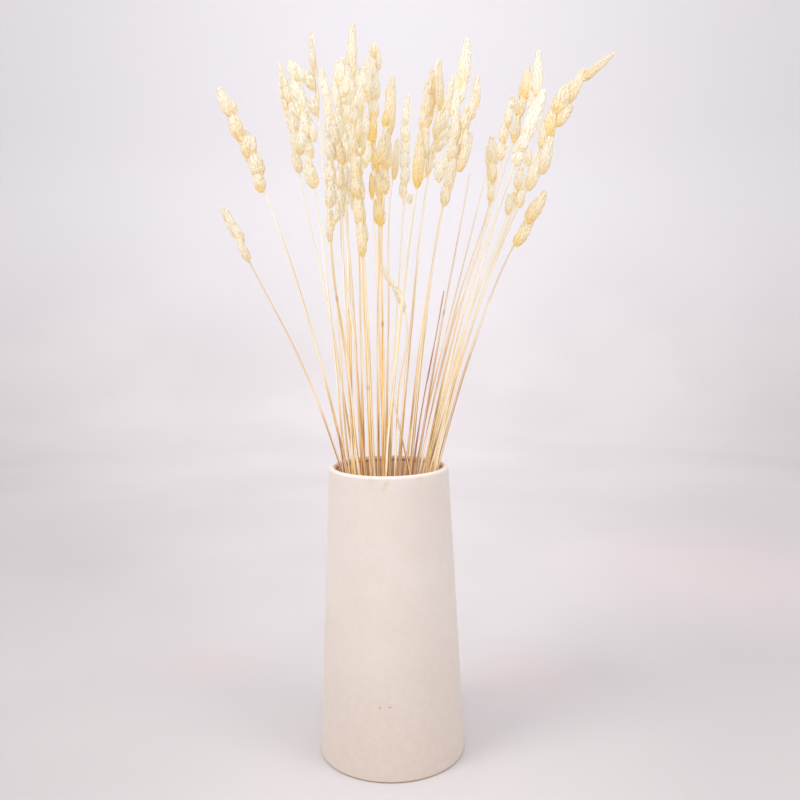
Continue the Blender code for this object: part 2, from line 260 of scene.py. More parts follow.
# The lobes that the front shows on each head: how far up the head and to its right their
# foot is, their lean in degrees, their length and width, and how golden they are (0 to 9)
HEADS = {
    "grass_01": ((0, -2, 11, 14, 8, 5), (11, 1, 8, 18, 10, 3), (26, 0, 15, 17, 9, 5),
        (26, 3, 29, 11, 5, 3), (40, -1, 7, 19, 9, 5), (56, 3, 17, 9, 5, 3), (57, 0, 1, 19, 8, 3)),
    "grass_02": ((0, 0, 5, 16, 6, 3), (14, 2, 3, 17, 6, 3), (24, 0, 8, 16, 5, 2), (32, -1, 3, 11, 4, 4)),
    "grass_03": ((1, 1, -4, 18, 7, 3), (15, 5, -8, 20, 7, 3), (30, 3, -1, 17, 7, 2),
        (40, 5, -5, 18, 7, 2), (56, 3, -4, 14, 6, 2), (66, 2, -5, 12, 5, 2), (77, 1, -6, 11, 3, 2)),
    "grass_04": ((-1, 0, -8, 21, 9, 5), (24, 0, 1, 14, 7, 1), (28, -4, 10, 15, 7, 2),
        (33, 6, -3, 17, 6, 2), (38, 1, 3, 17, 7, 1), (52, 4, 1, 14, 6, 2), (57, 2, 3, 17, 6, 2),
        (65, 0, -5, 17, 6, 2), (77, 7, -15, 12, 6, 2), (80, 3, -18, 16, 9, 3)),
    "grass_05": ((0, -2, -6, 10, 6, 3), (16, -3, -12, 11, 6, 3), (28, -1, 0, 15, 4, 3),
        (42, -1, 0, 8, 2, 3)),
    "grass_06": ((-1, -1, 0, 23, 6, 6), (15, -1, 3, 25, 5, 0)),
    "grass_07": ((0, 0, 2, 17, 4, 3), (12, 3, 28, 10, 4, 2), (24, 2, -3, 15, 6, 3), (36, 7, 1, 14, 6, 3),
        (38, 2, -9, 14, 7, 2), (51, 8, -10, 15, 6, 7), (53, 1, -11, 16, 6, 2), (62, 4, -9, 15, 6, 3),
        (68, -1, -4, 14, 5, 2)),
    "grass_08": ((21, 1, 1, 18, 7, 2), (36, 0, -3, 22, 7, 1), (52, 3, -7, 22, 6, 2),
        (61, -1, -3, 20, 5, 0), (75, 2, -4, 17, 6, 0), (89, 0, -3, 20, 7, 0)),
    "grass_10": ((11, 1, 1, 20, 7, 3), (28, -1, -2, 23, 7, 3), (37, 1, 9, 21, 7, 2),
        (40, -3, -7, 20, 7, 2), (47, -1, 1, 44, 8, 4)),
    "grass_11": ((0, 0, -1, 20, 6, 4), (19, -1, -3, 20, 6, 4), (37, -2, -2, 15, 6, 5),
        (47, -2, -1, 18, 5, 4), (63, -3, 1, 19, 5, 3), (73, 0, 7, 16, 5, 4), (80, -2, 5, 15, 5, 3)),
    "grass_15": ((21, 2, -5, 20, 8, 2), (34, -3, -6, 18, 6, 1), (36, 3, -1, 19, 7, 2),
        (51, 0, -1, 18, 8, 2), (61, -4, -6, 10, 4, 0), (61, 5, -1, 15, 4, 2), (71, 1, -5, 12, 7, 4)),
    "grass_16": ((0, -4, 2, 17, 4, 8), (27, -2, 3, 10, 5, 6), (40, 0, 11, 23, 7, 8)),
    "grass_17": ((0, -1, -9, 16, 7, 7), (18, -2, -6, 16, 6, 5), (36, -5, -1, 13, 5, 7),
        (39, -2, 4, 24, 8, 4), (60, 1, -1, 35, 7, 4), (64, -2, 3, 10, 5, 7)),
    "grass_18": ((0, 1, -4, 26, 5, 4),),
    "grass_19": ((2, 4, 9, 7, 4, 2), (7, -1, -3, 12, 6, 1), (17, 0, 0, 15, 7, 1), (29, -1, 0, 14, 7, 0),
        (39, -1, -6, 15, 7, 0), (51, -1, -6, 16, 7, 1), (64, -2, 0, 14, 5, 0), (74, -2, 4, 12, 4, 0)),
    "grass_20": ((0, -1, 13, 8, 4, 4), (5, 0, 7, 10, 4, 4), (12, 0, 3, 12, 3, 3), (21, -1, 5, 13, 3, 3)),
    "grass_21": ((0, 0, -5, 31, 7, 6), (6, 5, 2, 16, 3, 3), (17, 2, -6, 17, 5, 3), (33, -2, -8, 15, 5, 2),
        (43, -1, -10, 19, 5, 2), (45, 1, -9, 24, 5, 4), (48, 6, -11, 27, 5, 4)),
    "grass_22": ((-14, -7, -2, 18, 7, 2), (-6, -4, 4, 18, 6, 1), (37, -3, 1, 21, 7, 2),
        (45, -5, 1, 26, 7, 2), (50, 1, 4, 15, 5, 1), (55, -2, 1, 27, 7, 7), (65, 1, -3, 35, 9, 3)),
    "grass_23": ((17, 1, 28, 13, 5, 4), (23, 0, 28, 14, 4, 3), (26, -2, 0, 19, 6, 4),
        (31, 1, 4, 17, 5, 3), (44, 1, -2, 23, 5, 3)),
    "grass_24": ((0, 1, -4, 20, 7, 3), (11, 1, -3, 20, 7, 3), (21, 1, -7, 16, 6, 2), (28, 6, 3, 28, 7, 4),
        (32, -2, -12, 21, 6, 3), (42, 5, -8, 15, 6, 3), (48, -4, -13, 20, 7, 2), (57, 1, -9, 16, 7, 3),
        (66, 3, -5, 13, 6, 3), (75, 4, -13, 23, 6, 3)),
    "grass_25": ((1, 1, -6, 13, 4, 3), (13, 1, -1, 16, 6, 4), (24, 2, -4, 18, 6, 3)),
    "grass_26": ((0, -1, -12, 13, 6, 3), (13, -2, -6, 13, 6, 3), (25, 0, -6, 15, 6, 3),
        (35, 0, 2, 12, 5, 3)),
    "grass_27": ((-2, 1, 0, 16, 6, 3), (18, 1, 0, 19, 6, 3), (32, 2, -5, 25, 7, 5)),
    "grass_28": ((3, 2, -8, 19, 6, 2), (9, 3, -8, 29, 7, 2)),
    "grass_29": ((0, 2, -9, 13, 6, 1), (10, 1, -6, 14, 7, 0), (20, 1, -2, 34, 10, 0)),
    "grass_30": ((-3, 2, -22, 18, 6, 3), (7, 3, -10, 23, 9, 6), (22, 7, 19, 17, 7, 3),
        (33, 3, -6, 21, 10, 3), (48, 6, -17, 25, 8, 3), (65, 1, -3, 25, 6, 3)),
    "grass_31": ((-1, 1, -8, 22, 8, 4), (13, 4, -15, 22, 8, 3)),
    "grass_32": ((-1, 0, -16, 13, 5, 3), (6, 6, -6, 14, 7, 3), (18, 1, -9, 15, 6, 3),
        (36, 3, -14, 11, 5, 3)),
    "grass_33": ((0, 1, 8, 20, 8, 4), (19, 1, -1, 24, 8, 4)),
}

# Heads whose culm shows between their lobes
BARE_HEADS = ("grass_05", "grass_16", "grass_20")

# Husks of one kind of straw: the cream of their points, and the gold of a lobe's foot and of the painted
# shade between husks
Straw = namedtuple("Straw", "cream gold")
STRAWS = {
    GOLD: Straw((0.73, 0.695, 0.615), (0.74, 0.55, 0.26)),
    PALE: Straw((0.77, 0.755, 0.69), (0.78, 0.65, 0.38)),
    AMBER: Straw((0.73, 0.67, 0.555), (0.75, 0.50, 0.09)),
    RUSSET: Straw((0.97, 0.87, 0.68), (0.84, 0.52, 0.26)),
}

# What makes a husk golden, and how much each adds, with less taken away at the end
# The root and groove shares are painted shade between the husks; the foot shares are partly the lobe's
# own gold and partly painted shade
HUSK_GOLD = Values(
    lobe=0.60, foot=0.34, golden_foot=0.5, root=0.12, edge=0.18, golden=0.30, tint=0.10,
    vein=0.15, less=0.30)

# Where a lobe's foot, a golden lobe and a husk's edge come in, and how fine the veins are
LOBE_FOOT = (0.30, 1.0)
GOLDEN_LOBE = (0.5, 1.0)
HUSK_EDGE = (0.003, 0.022)
VEINS = Values(around=14, along=1.5, husk=37)

# Painted glow that stands in for light coming through the husks: on their backs, and deeper down between
# them, where their edges and roots are
HUSK_GLOW = (0.56, 0.535, 0.45)
HUSK_GLOW_DEEP = (0.92, 0.67, 0.29)
DEEP_EDGE = 0.6
DEEP_ROOT = 0.65
ROOT_OVER = (0.3, 1.0)

# Culms are golden up to the first height and bleached from the second, in millimetres, give or take; near
# the rim, painted shade deepens their streaks
BLEACHED_OVER = (165.0, 430.0)
BLEACH_RAGGED = 160.0
RIM_SHADE_OVER = (VASE_HEIGHT - 30, VASE_HEIGHT + 80)
CULM_GOLD = Values(low=0.78, warm=0.36, patch=0.5, less=0.04)
BLEACHED = (0.93, 0.90, 0.76)
GOLDEN = (0.95, 0.62, 0.14)
ORANGE = (0.90, 0.43, 0.06)
ORANGE_OVER = (0.35, 0.9)
ORANGE_SHARE = 0.65
RED = (0.44, 0.14, 0.13)
RED_ABOVE = 0.35
RED_BELOW = 0.5
# Painted glow of the culms: faint above, stronger and more golden lower down
CULM_GLOW_ABOVE = (0.45, 0.39, 0.27)
CULM_GLOW_BELOW = (1.0, 0.80, 0.48)

# Dark streaks along a culm, pale streaks of painted shine, and the brown of a joint
STREAK = (0.31, 0.09, 0.004)
STREAK_OVER = (0.52, 0.57)
STREAK_SHARE = Values(least=0.14, golden=0.32)
STREAK_STRETCH = 0.012
PAINTED_SHINE = Layer(0.38, 0.49, 0.85, (0.98, 0.95, 0.80))
PATCH_STRETCH = (1, 1, 0.2)
JOINT_BROWN = (0.40, 0.18, 0.06)
JOINT_SHARE = 0.4

# Camera and room of the studio, in metres
LENS = 38.42
SENSOR = 36
CAMERA_AT = (0.0091, -0.635, 0.3424)
CAMERA_DIP = 0.11154
CAMERA_ROLL = -0.0128
STUDIO = Values(radius=2.4, height=2.0, bend=0.9, sides=96, steps=16, near=0.01)

# Paper of the room: its colours on the floor and up the wall, the floor darker as painted shade, and its
# faint clouds
FLOOR_PAPER = (0.605, 0.575, 0.578)
WALL_PAPER = (0.775, 0.760, 0.780)
PAPER_RISE = (0.0, 0.8)
CLOUD = Layer(0.3, 0.7, 0.25, (0.80, 0.765, 0.76))

# How light the paper is, and how much painted shade darkens it at the sides of the view and in the
# foreground; both fade with y
PAPER_LIGHT = 1.08
SIDE_SHADE = 0.14
SIDE_OVER = (0.0, 0.45)
SIDE_FADE = (-1.0, -0.1)
NEAR_SHADE = 0.07
NEAR_FADE = (0.0, 0.4)

# Where the view fans out from, before the vase, and the nearest y that still counts
VIEW_BACK = 0.8
VIEW_NEAREST = -0.1

# Soft pools of light and shade on the paper: centre, radius and how much lighter
POOLS = (
    ((0, 1.9, 0), 1.7, 0.24), ((0, 2.3, 0.6), 1.2, -0.085), ((0.4, 0.4, 0), 1.2, 0.06),
    ((1.2, 1.8, 0.05), 0.8, 0.08), ((-1.2, 1.8, 0.05), 0.8, 0.06), ((-0.4, 0.4, 0), 0.3, -0.06),
)

# Painted shade, faintly pink as from light bounced off the vase, on the floor behind the vase: centre,
# radius and strength
PINK_SHADE_COLOUR = (0.70, 0.59, 0.60)
PINK_SHADE_PATCHES = (
    ((0.42, 0.42, 0), 0.30, 0.5), ((0.12, 0.12, 0), 0.09, 0.5), ((-0.18, 0.16, 0), 0.09, 0.3),
)

# Round lamps: where they hang and aim, their size in metres, watts and colour
Lamp = namedtuple("Lamp", "name place aim size watts colour")
LAMPS = (
    Lamp("window_left", (-1.02, -0.72, 1.15), (0, 0, 0.4), 0.8, 9.5, (1.0, 0.985, 0.96)),
    Lamp("window_right", (1.0, -0.68, 1.08), (0, 0, 0.4), 0.8, 5.7, (1.0, 0.985, 0.96)),
    Lamp("front_fill", (-0.1, -1.1, 0.6), (0, 0, 0.42), 0.6, 1.1, (1.0, 0.96, 0.90)),
    Lamp("backdrop_glow", (0.0, 0.9, 1.6), (0, 2.4, 0.9), 0.6, 5.0, (1.0, 0.98, 1.0)),
)
SKY_COLOUR = (0.97, 0.97, 1.0, 1)
SKY_STRENGTH = 1.06


def pick(main, others=()):
    """Select these pieces and nothing else, with the main one active."""
    for item in bpy.context.selected_objects:
        item.select_set(False)
    for piece in (main, *others):
        piece.select_set(True)
    bpy.context.view_layer.objects.active = main


def edit(piece):
    """Enter edit mode on one piece with all of it selected."""
    pick(piece)
    bpy.ops.object.mode_set(mode="EDIT")
    bpy.ops.mesh.select_all(action="SELECT")


def edited():
    bpy.ops.object.mode_set(mode="OBJECT")


def disc(name, sides, radius):
    """A new flat disc, in edit mode."""
    bpy.ops.mesh.primitive_circle_add(vertices=sides, radius=radius, fill_type="NGON")
    piece = bpy.context.object
    piece.name = name
    edit(piece)
    return piece


def draw_up(rise):
    bpy.ops.mesh.extrude_region_move(TRANSFORM_OT_translate={"value": (0, 0, rise)})


def turned(name, sides, rings, pointed=False):
    """A piece drawn out of a disc through rings of radius and height, in edit mode."""
    piece = disc(name, sides, rings[0][0])
    for low, high in zip(rings, rings[1:]):
        draw_up(high[1] - low[1])
        ratio = high[0] / low[0]
        bpy.ops.transform.resize(value=(ratio, ratio, 1), center_override=(0, 0, high[1]))
    if pointed:
        bpy.ops.mesh.merge(type="CENTER")
    make_outward()
    return piece


def make_outward():
    """Turn all faces of the edited piece to the outside."""
    bpy.ops.mesh.select_all(action="SELECT")
    bpy.ops.mesh.normals_make_consistent(inside=False)


def select_verts(piece, wanted):
    """Select the vertices, and with them the edges and faces, that a test wants."""
    edited()
    for part in (piece.data.polygons, piece.data.edges):
        part.foreach_set("select", [False] * len(part))
    for vert in piece.data.vertices:
        vert.select = wanted(vert.co)
    bpy.ops.object.mode_set(mode="EDIT")
    bpy.ops.mesh.select_mode(type="VERT")
    bpy.ops.mesh.select_mode(type="EDGE")


def added(name, data):
    """A new object that stands in the scene."""
    item = bpy.data.objects.new(name, data)
    bpy.context.scene.collection.objects.link(item)
    return item


def paint_points(mesh, name, values):
    """Store one number for each vertex under a name that the materials read."""
    layer = mesh.attributes.new(name, "FLOAT", "POINT")
    layer.data.foreach_set("value", values)


def paint_all(mesh, **marks):
    """Store the same number at every vertex, for each name."""
    for name, value in marks.items():
        paint_points(mesh, name, [value] * len(mesh.vertices))


def copied(template, matrix, pieces, **marks):
    """A copy of a template with its own mesh, set in its place and marked all over."""
    mesh = template.data.copy()
    mesh.transform(matrix)
    paint_all(mesh, **marks)
    pieces.append(added(template.name, mesh))
    return pieces[-1]


def join_to(main, pieces):
    """Make one object of all the pieces, which keeps the main piece's name."""
    pick(main, pieces)
    bpy.ops.object.join()


def hand_over(piece, node):
    """Say what a finished piece rides on, and hide the CAD part that it stands for."""
    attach(piece, BODY)
    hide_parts(node)


def both_ways(operation):
    """An operator for wires, and its reflected form; each adds one Math node."""
    return (lambda self, other: self.math(operation, self, other),
            lambda self, other: self.math(operation, other, self))


class Wire:
    """A value that varies over a surface; arithmetic on it adds the Math nodes."""

    __add__, __radd__ = both_ways("ADD")
    __sub__, __rsub__ = both_ways("SUBTRACT")
    __mul__, __rmul__ = both_ways("MULTIPLY")
    __truediv__, __rtruediv__ = both_ways("DIVIDE")
    __pow__, __rpow__ = both_ways("POWER")

    def __init__(self, paint, socket):
        self.paint = paint
        self.socket = socket

    def math(self, operation, *values):
        return self.paint.add("Math", {"operation": operation}, dict(enumerate(values)))

    def at_least(self, low):
        return self.math("MAXIMUM", self, low)

    def between(self, low, high):
        """0 at low and below, 1 at high and above, smooth between them."""
        settings = {"interpolation_type": "SMOOTHSTEP"}
        sockets = {"Value": self, "From Min": low, "From Max": high}
        return self.paint.add("MapRange", settings, sockets)


class Paint:
    """One material, and the nodes that colour it."""

    def __init__(self, name, **constants):
        self.material = bpy.data.materials.new(name)
        self.material.use_nodes = True
        self.tree = self.material.node_tree
        self.shader = self.tree.nodes["Principled BSDF"]
        for socket, value in constants.items():
            self.shader.inputs[socket.replace("_", " ")].default_value = value

    def add(self, kind, settings=None, sockets=None, output=0):
        """Add one node: settings first, then values or links; returns one output."""
        node = self.tree.nodes.new("ShaderNode" + kind)
        for key, value in (settings or {}).items():
            setattr(node, key, value)
        for key, value in (sockets or {}).items():
            self.feed(node.inputs[key], value)
        return Wire(self, node.outputs[output])

    def feed(self, socket, value):
        if isinstance(value, Wire):
            self.tree.links.new(value.socket, socket)
        else:
            socket.default_value = value

    def place(self):
        return self.add("TexCoord", output="Object")

    def axes(self, vector):
        """The three numbers of a vector."""
        split = self.add("SeparateXYZ", sockets={0: vector})
        return [Wire(self, socket) for socket in split.socket.node.outputs]

    def noise(self, vector, scale, detail, roughness):
        sockets = {"Vector": vector, "Scale": scale, "Detail": detail, "Roughness": roughness}
        return self.add("TexNoise", sockets=sockets)

    def attribute(self, name):
        return self.add("Attribute", {"attribute_name": name}, output="Fac")

    def mix(self, share, first, second):
        """A colour between two colours, by a share from 0 to 1."""
        colours = [c if isinstance(c, Wire) else (*c, 1.0) for c in (first, second)]
        sockets = {0: share, 6: colours[0], 7: colours[1]}
        return self.add("Mix", {"data_type": "RGBA"}, sockets, output=2)

    def cover(self, colour, wire, layer, falls=False):
        """A colour under a layer that comes in, or falls away, as a number grows."""
        share = wire.between(layer.low, layer.high)
        if falls:
            share = 1 - share
        return self.mix(share * layer.strength, colour, layer.colour)

    def spot(self, place, centre, radius):
        """1 at a centre, falling smoothly to 0 at a distance from it."""
        sockets = {0: place, 1: centre}
        far = self.add("VectorMath", {"operation": "DISTANCE"}, sockets, output=1)
        return 1 - far.between(0.0, radius)

    def bump(self, height, strength, distance):
        """Small relief that only the light shows."""
        sockets = {"Height": height, "Strength": strength, "Distance": distance}
        self.feed(self.shader.inputs["Normal"], self.add("Bump", sockets=sockets))

    def colour(self, wire):
        self.feed(self.shader.inputs["Base Color"], wire)

    def glow(self, wire):
        self.feed(self.shader.inputs["Emission Color"], wire)

    def rough(self, least, noise, more):
        self.feed(self.shader.inputs["Roughness"], least + noise * more)


def outer_radius(z):
    return BASE_RADIUS + (RIM_RADIUS - BASE_RADIUS) * z / VASE_HEIGHT


def vase_rings():
    """Radius and height of each ring, up the outside, over the lip and down inside."""
    steps = range(WALL_RINGS + 1)
    rises = [VASE_HEIGHT * i / WALL_RINGS for i in steps]
    drops = [VASE_HEIGHT + (FLOOR - VASE_HEIGHT) * i / WALL_RINGS for i in steps]
    rings = [(outer_radius(z), z) for z in rises] + [(outer_radius(z) - WALL, z) for z in drops]
    return [(radius * MM, z * MM) for radius, z in rings]


def round_corner(piece, height, radius, offset):
    """Bevel the ring of edges at one height and radius."""
    ring = Vector((radius, height)) * MM
    near = RING_NEAR * MM
    select_verts(piece, lambda co: (Vector((co.xy.length, co.z)) - ring).length < near)
    bpy.ops.mesh.bevel(offset=offset * MM, segments=BEVEL_STEPS, affect="EDGES")


def make_vase():
    """Turned clay: drawn out ring by ring, its corners rounded, its wall a little uneven."""
    vase = turned("vase_clay", VASE_SIDES, vase_rings())
    round_corner(vase, VASE_HEIGHT, RIM_RADIUS, LIP_ROUND)
    round_corner(vase, VASE_HEIGHT, RIM_RADIUS - WALL, LIP_ROUND)
    round_corner(vase, 0, BASE_RADIUS, FOOT_EDGE)
    round_corner(vase, FLOOR, outer_radius(FLOOR) - WALL, FLOOR_FILLET)
    edited()
    uneven = bpy.data.textures.new("uneven_clay", "CLOUDS")
    uneven.noise_scale = WOBBLE_SIZE * MM
    wobble = vase.modifiers.new("wobble", "DISPLACE")
    wobble.texture = uneven
    wobble.strength = WOBBLE * MM
    wobble.texture_coords = "LOCAL"
    pick(vase)
    bpy.ops.object.modifier_apply(modifier=wobble.name)
    vase.data.shade_smooth()
    vase.data.materials.append(clay())
    hand_over(vase, "vase")


def clay():
    """Warm off-white slip: mottled, a little tan at the foot; a painted highlight on the lip, painted
    shade towards the foot and a painted contact shadow at the base; tan inside, darkening deeper down as
    painted shade, with a painted shadow line below the lip."""
    paint = Paint("matt_clay", Sheen_Weight=0.3, Sheen_Tint=(1.0, 0.95, 0.92, 1))
    place = paint.place()
    x, y, z = paint.axes(place)
    height = z / MM
    radius = (x * x + y * y) ** 0.5 / MM
    middle = outer_radius(0) - WALL / 2 + height * ((RIM_RADIUS - BASE_RADIUS) / VASE_HEIGHT)
    inside = 1 - (radius - middle).between(*INSIDE_FROM_MIDDLE)
    blotch, mottle, speckle, grain = [
        paint.noise(place, scale, detail, CLAY_NOISE_ROUGHNESS) for scale, detail in CLAY_NOISES]
    colour = paint.cover(SLIP, blotch, BLOTCH)
    # Painted shade: darker towards the foot
    colour = paint.cover(colour, height, SHADED_FOOT, falls=True)
    for noise, layer in ((mottle, MOTTLE), (speckle, SPECKLE), (grain, GRAIN)):
        colour = paint.cover(colour, noise, layer)
    # A ragged height for the lip's painted highlight and for the painted shadow line inside
    ragged_height = height + (speckle - 0.5) * LIP_RAGGED
    colour = paint.cover(colour, ragged_height, PAINTED_LIP_HIGHLIGHT)
    # Painted shade: the inside darkens deeper down
    tan = paint.cover(INSIDE_TAN, height, INSIDE_PAINTED_SHADE, falls=True)
    # Painted shadow: a dark line below the lip, inside
    line = ragged_height.between(INSIDE_SHADOW_LINE.low, INSIDE_SHADOW_LINE.high) * (1 - ragged_height.between(*SHADOW_LINE_TOP))
    tan = paint.mix(line * INSIDE_SHADOW_LINE.strength, tan, INSIDE_SHADOW_LINE.colour)
    colour = paint.mix(inside, colour, tan)
    for centre, size, strength, stain in CLAY_MARKS:
        mark = paint.spot(place, Vector(centre) * MM, size * MM) * strength
        colour = paint.mix(mark, colour, stain)
    colour = paint.cover(colour, height, TAN_FOOT, falls=True)
    # Painted contact shadow at the very foot
    colour = paint.cover(colour, height, PAINTED_CONTACT_SHADOW, falls=True)
    paint.colour(colour)
    paint.rough(least=0.58, noise=speckle, more=0.12)
    paint.bump(speckle * 0.6 + grain * 0.4, strength=0.25, distance=0.0004)
    return paint.material


def placed(culm, x, z):
    """A point of the front outline, moved along the line of sight to its depth."""
    y = culm.rim[1] * (1 + FAN * (z - VASE_HEIGHT) / VASE_HEIGHT)
    grow = 1 + y / EYE_DISTANCE
    return Vector((x * grow, y, EYE_HEIGHT + (z - EYE_HEIGHT) * grow))


def culm_knots(culm):
    """The few points that a culm passes, from its foot on the floor to its tip."""
    rim = Vector((*culm.rim, VASE_HEIGHT))
    foot = Matrix.Rotation(FOOT_TURN, 3, "Z") @ rim * FOOT_SPREAD
    foot.z = FLOOR + SEAT_GAP
    knots = [foot, foot + Vector((0, 0, FOOT_RISE)), rim]
    if culm.neck:
        neck = placed(culm, *culm.neck)
        middle = (rim + neck) / 2
        middle.x -= SAG * (neck.x - rim.x)
        knots += [middle, neck]
    if culm.name in BENDS:
        knots.append(placed(culm, *BENDS[culm.name]))
    knots.append(placed(culm, *culm.tip))
    return knots


def knot_slopes(knots):
    """How fast x and y change with height at each knot of a smooth curve."""
    spans = [b.z - a.z for a, b in zip(knots, knots[1:])]
    slopes = [(b.xy - a.xy) / span for a, b, span in zip(knots, knots[1:], spans)]
    result = [slopes[0]]
    for i in range(1, len(slopes)):
        total = spans[i - 1] + spans[i]
        result.append((slopes[i - 1] * spans[i] + slopes[i] * spans[i - 1]) / total)
    result.append(slopes[-1])
    return result


class Line:
    """The smooth line that a culm follows, as a point for each height."""

    def __init__(self, culm):
        self.knots = culm_knots(culm)
        self.slopes = knot_slopes(self.knots)
        self.foot_z = self.knots[0].z
        self.tip_z = self.knots[-1].z
        self.neck = self.knots[NECK] if culm.neck else None
        self.reach = (self.knots[-1] - self.neck).length if culm.neck else 0

    def at(self, z):
        i = 0
        while i < len(self.knots) - 2 and z > self.knots[i + 1].z:
            i += 1
        low, high = self.knots[i:i + 2]
        span = high.z - low.z
        s = (z - low.z) / span
        flat = (1 + 2 * s) * (1 - s) ** 2 * low.xy
        flat += s * (1 - s) ** 2 * span * self.slopes[i]
        flat += s * s * (3 - 2 * s) * high.xy
        flat += s * s * (s - 1) * span * self.slopes[i + 1]
        return Vector((flat.x, flat.y, z))

    def climb(self, z):
        """Which way the line runs at a height."""
        return (self.at(z + 1) - self.at(z)).normalized()


def ring_heights(line, joint):
    """Heights of a culm's rings: even steps, and close rings at its joint."""
    count = round((line.tip_z - line.foot_z) / RING_STEP)
    rows = [line.foot_z + (line.tip_z - line.foot_z) * i / count for i in range(count + 1)]
    if joint:
        rows = [z for z in rows if abs(z - joint) > JOINT.spread]
        rows += [joint + JOINT.half * step for step in JOINT.rings]
    return sorted(rows)


def culm_radius(culm, line, joint, z):
    """Full size up to the rim, then a taper to the tip, with a swelling at a joint."""
    climb = max(0.0, (z - VASE_HEIGHT) / (line.tip_z - VASE_HEIGHT))
    radius = culm.stalk + (TIP_RADIUS - culm.stalk) * climb
    if joint:
        near = max(0.0, 1 - abs(z - joint) / (JOINT.half * JOINT.reach))
        radius *= 1 + (JOINT.swell - 1) * near
    return radius


def make_culm(culm, line):
    """The bare culm: a round tube along its line, swollen a little at its joint."""
    joint = JOINTS.get(culm.name)
    rows = ring_heights(line, joint)
    curve = bpy.data.curves.new(culm.name + "_straw", "CURVE")
    curve.dimensions = "3D"
    curve.bevel_depth = MM
    curve.bevel_resolution = CULM_SIDES_STEP
    curve.use_fill_caps = True
    spline = curve.splines.new("POLY")
    spline.points.add(len(rows) - 1)
    for knot, z in zip(spline.points, rows):
        knot.co = (*(line.at(z) * MM), 1)
        knot.radius = culm_radius(culm, line, joint, z)
    stalk = added(culm.name + "_straw", curve)
    pick(stalk)
    bpy.ops.object.convert(target="MESH")
    edit(stalk)
    bpy.ops.mesh.remove_doubles(threshold=WELD * MM)
    make_outward()
    edited()
    mesh = stalk.data
    if joint:
        near = [abs(vert.co.z / MM - joint) for vert in mesh.vertices]
        paint_points(mesh, "joint", [max(0.0, 1 - gap / (2 * JOINT.half)) for gap in near])
    out = [(vert.co / MM - line.at(vert.co.z / MM)) / culm.stalk for vert in mesh.vertices]
    paint_points(mesh, "to_right", [step.x for step in out])
    paint_points(mesh, "to_back", [step.y for step in out])
    paint_all(mesh, warm=culm.warm, red=culm.red, seed=culm.rim[1])
    mesh.shade_smooth()
    mesh.materials.append(bpy.data.materials["dry_culm"])
    mesh.materials.append(bpy.data.materials[culm.straw + "_husk"])
    return stalk


def make_husk():
    """The husk that every head repeats, one unit long, wide and thick."""
    rings = [(ring.girth / 2, ring.height) for ring in HUSK_RINGS]
    husk = turned("husk", HUSK.sides, rings, pointed=True)
    edited()
    mesh = husk.data
    around = [math.atan2(vert.co.x, vert.co.y) / math.tau for vert in mesh.vertices]
    paint_points(mesh, "rise", [vert.co.z for vert in mesh.vertices])
    paint_points(mesh, "around", around)
    for vert in mesh.vertices:
        vert.co.y += husk_bow(vert.co.z)
    mesh.shade_smooth()
    return husk


def husk_bow(z):
    """How far a husk's middle stands out from the straight line, in its own unit."""
    for low, high in zip(HUSK_RINGS, HUSK_RINGS[1:]):
        if z <= high.height:
            share = (z - low.height) / (high.height - low.height)
            return low.bow + (high.bow - low.bow) * share
    return HUSK_RINGS[-1].bow


def girth(share):
    """How full a lobe is at a share of its length: rounded below, narrower above."""
    fullness = FULLNESS_BELOW if share < FULL_AT else FULLNESS_ABOVE
    return math.sin(math.pi * min(1.0, share + WAVE_START) ** WAVE_BEND) ** fullness


def make_core():
    """The bud inside a lobe, one unit long and wide."""
    bpy.ops.mesh.primitive_uv_sphere_add(segments=CORE.segments, ring_count=CORE.rings, radius=1)
    core = bpy.context.object
    core.name = "core"
    for vert in core.data.vertices:
        z = (vert.co.z + 1) / 2
        ring = vert.co.xy
        if ring.length > CORE.pole:
            ring = ring.normalized() * girth(z) / 2
        vert.co = (ring.x, ring.y, z)
    paint_all(core.data, **CORE_SHADE_MARKS)
    core.data.shade_smooth()
    return core


def make_needle(name, sides, tip):
    """A thin cone that stands on its foot, one unit long."""
    bpy.ops.mesh.primitive_cone_add(vertices=sides, radius1=1, radius2=tip, depth=1)
    needle = bpy.context.object
    needle.name = name
    needle.data.transform(Matrix.Translation((0, 0, 0.5)))
    paint_all(needle.data, rise=NEEDLE_RISE)
    needle.data.shade_smooth()
    return needle


def stood(foot, along, out):
    """Where a piece goes that stands on a foot, points along one way and backs to another."""
    along = along.normalized()
    out = (out - along * out.dot(along)).normalized()
    side = out.cross(along)
    return Matrix.Translation(foot) @ Matrix((side, out, along)).transposed().to_4x4()


def level(angle):
    """The level way out at an angle."""
    return Vector((math.cos(angle), math.sin(angle), 0))


def varied(draw, amount):
    return draw.uniform(1 - amount, 1 + amount)


